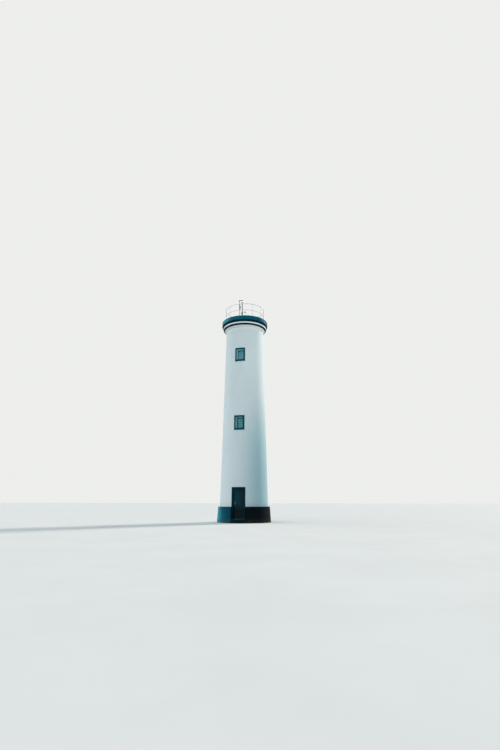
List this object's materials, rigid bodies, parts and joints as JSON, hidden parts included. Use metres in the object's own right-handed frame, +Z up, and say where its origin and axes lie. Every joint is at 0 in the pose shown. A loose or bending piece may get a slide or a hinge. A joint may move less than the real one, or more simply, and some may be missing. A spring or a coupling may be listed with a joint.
{
  "type": "round lighthouse",
  "caption": "Round white lighthouse on a painted plinth, with panelled door, windows, cornice, railed terrace and a slim lantern mast.",
  "frame": {"origin": "centre of the base at ground level", "axes": "+Z up the tower, -Y out of the doorway, +X to the doorway's hinge side"},
  "size_m": [4, 3.9998, 17.98],
  "materials": {
    "white_render": "matt",
    "blue_paint": "satin",
    "dark_paint": "satin",
    "surround_paint": "satin",
    "concrete": "rough",
    "door_paint": "satin",
    "window_paint": "satin",
    "glass": "clear",
    "galvanised": "dull",
    "aged_zinc": "dull",
    "hardware": "brushed",
    "lantern_paint": "satin",
    "box_paint": "satin"
  },
  "bodies": {
    "tower": {"cornice_band": "blue_paint", "cornice_corbel": "dark_paint", "cornice_strip": "white_render", "door_frame": "door_paint", "door_surround": "surround_paint", "doorstep": "surround_paint", "first_floor": "concrete", "frame_hinges": "hardware", "ground_floor": "concrete", "ground_wall_back": "white_render", "ground_wall_left": "white_render", "ground_wall_right": "white_render", "lantern": "lantern_paint", "lantern_post": "aged_zinc", "lower_window_frame": "window_paint", "lower_window_glass": "glass", "lower_window_surround": "surround_paint", "mast_boxes": "box_paint", "mast_crossbar": "aged_zinc", "mid_rail": "galvanised", "middle_wall_back": "white_render", "middle_wall_left": "white_render", "middle_wall_right": "white_render", "plinth_back": "blue_paint", "plinth_left": "blue_paint", "plinth_right": "blue_paint", "railing_posts": "galvanised", "second_floor": "concrete", "side_post": "galvanised", "terrace_slab": "concrete", "top_rail": "galvanised", "upper_wall_back": "white_render", "upper_wall_left": "white_render", "upper_wall_right": "white_render", "upper_window_frame": "window_paint", "upper_window_glass": "glass", "upper_window_surround": "surround_paint", "wall_over_door": "white_render", "wall_over_lower_window": "white_render", "wall_over_upper_window": "white_render", "wall_under_lower_window": "white_render", "wall_under_upper_window": "white_render"},
    "door": {"door_leaf": "door_paint", "door_handles": "hardware", "leaf_hinges": "hardware"}
  },
  "joints": [
    {"name": "door_hinge", "type": "hinge", "parent": "tower", "child": "door", "pos_m": [0.3475, -1.55917, 1.294], "axis": [0, 0, -1], "range_deg": [0, 95]}
  ]
}
